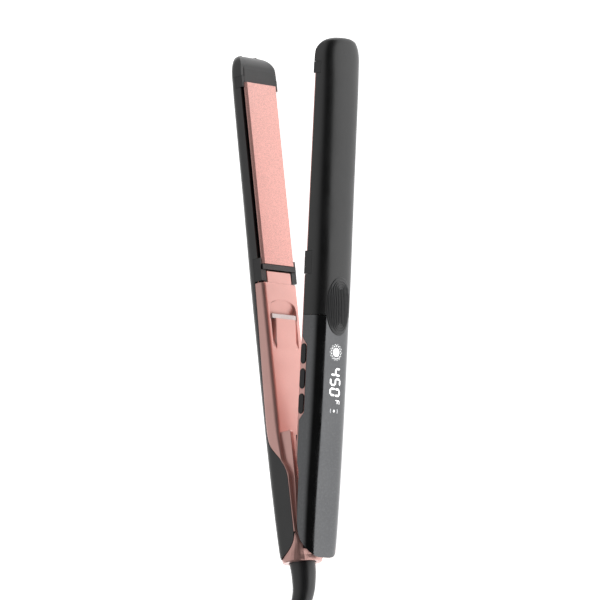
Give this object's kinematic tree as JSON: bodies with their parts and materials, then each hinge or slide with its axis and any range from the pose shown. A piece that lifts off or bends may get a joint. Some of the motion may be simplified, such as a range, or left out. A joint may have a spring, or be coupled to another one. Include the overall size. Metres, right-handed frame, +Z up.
{
  "type": "flat iron",
  "caption": "Flat iron hair straightener, lying open in a V: black shells, rose gold housings and floating plates, side buttons, a display, and a coiled mains cord with plug.",
  "frame": {"origin": "on the surface that the iron lies on, under the middle of the open iron's box (cord, coil and plug left out)", "axes": "+Y along the fixed lower arm from the hinge to its tip, +X from the lower arm towards the upper arm, +Z up along the hinge axis"},
  "size_m": [0.1589, 0.4403, 0.0305],
  "materials": {
    "black_shell": "satin moulded plastic",
    "glossy_panel": "high gloss",
    "thumb_rest": "fine ribbed soft-touch",
    "black_nylon": "heat-resistant, fine texture",
    "button_black": "satin",
    "rose_gold_trim": "pearl metallic rose gold lacquer",
    "coated_plate": "fine-grained rose gold ceramic coating",
    "smoky_clear": "clear, polished",
    "black_rubber": "satin moulded PVC",
    "cord_sheath": "satin PVC sheath",
    "spring_steel": "bright",
    "brass_pin": "bright",
    "ceramic": "unglazed ceramic",
    "circuit_green": "solder mask",
    "dark_part": "moulded"
  },
  "bodies": {
    "lower_arm": {"lower_shell": "black_shell", "lower_housing": "rose_gold_trim", "hinge_collar": "rose_gold_trim", "lower_plate_frame": "black_nylon", "lower_float_spring_front": "spring_steel", "lower_float_spring_rear": "spring_steel", "lower_thermal_fuse": "ceramic", "ion_outlet_bar": "smoky_clear", "ion_generator": "dark_part", "ion_needle": "brass_pin", "hinge_pin_near": "spring_steel", "hinge_pin_far": "spring_steel", "cord_clamp": "black_nylon", "clamp_screw_1": "spring_steel", "clamp_screw_2": "spring_steel", "cord_inside": "cord_sheath", "strain_relief": "black_rubber", "cord_lead": "cord_sheath", "cord_coil": "cord_sheath", "cord_tail": "cord_sheath", "plug_body": "black_rubber", "plug_prong_1": "brass_pin", "plug_prong_2": "brass_pin"},
    "upper_arm": {"upper_shell": "black_shell", "upper_panel": "glossy_panel", "thumb_pad": "thumb_rest", "upper_housing": "rose_gold_trim", "upper_plate_frame": "black_nylon", "upper_float_spring_front": "spring_steel", "upper_float_spring_rear": "spring_steel", "upper_thermal_fuse": "ceramic", "circuit_board": "circuit_green", "display_module": "dark_part", "triac": "dark_part", "microcontroller": "dark_part", "capacitor": "spring_steel", "button_switch_1": "dark_part", "button_switch_2": "dark_part", "button_switch_3": "dark_part"},
    "lower_plate_body": {"lower_plate": "coated_plate", "lower_heater": "ceramic", "lower_heater_clip": "spring_steel"},
    "upper_plate_body": {"upper_plate": "coated_plate", "upper_heater": "ceramic", "upper_heater_clip": "spring_steel"},
    "button_1_body": {"button_1": "button_black"},
    "button_2_body": {"button_2": "button_black"},
    "button_3_body": {"button_3": "button_black"}
  },
  "joints": [
    {"name": "arm_hinge", "type": "hinge", "parent": "lower_arm", "child": "upper_arm", "pos_m": [-0.02734, -0.14082, 0.015], "axis": [0, 0, 1], "range_deg": [0, 11.5], "stiffness_Nm_per_rad": 0.12, "springref_deg": -34.38},
    {"name": "lower_plate_float", "type": "slide", "parent": "lower_arm", "child": "lower_plate_body", "axis": [-1, 0, 0], "range_m": [0, 0.001], "stiffness_N_per_m": 1500, "springref_m": -0.001},
    {"name": "upper_plate_float", "type": "slide", "parent": "upper_arm", "child": "upper_plate_body", "axis": [0.9799, -0.1994, 0], "range_m": [0, 0.001], "stiffness_N_per_m": 1500, "springref_m": -0.001},
    {"name": "button_1_press", "type": "slide", "parent": "upper_arm", "child": "button_1_body", "axis": [0, 0, -1], "range_m": [0, 0.0005], "stiffness_N_per_m": 1200, "springref_m": -0.0005},
    {"name": "button_2_press", "type": "slide", "parent": "upper_arm", "child": "button_2_body", "axis": [0, 0, -1], "range_m": [0, 0.0005], "stiffness_N_per_m": 1200, "springref_m": -0.0005},
    {"name": "button_3_press", "type": "slide", "parent": "upper_arm", "child": "button_3_body", "axis": [0, 0, -1], "range_m": [0, 0.0005], "stiffness_N_per_m": 1200, "springref_m": -0.0005}
  ]
}
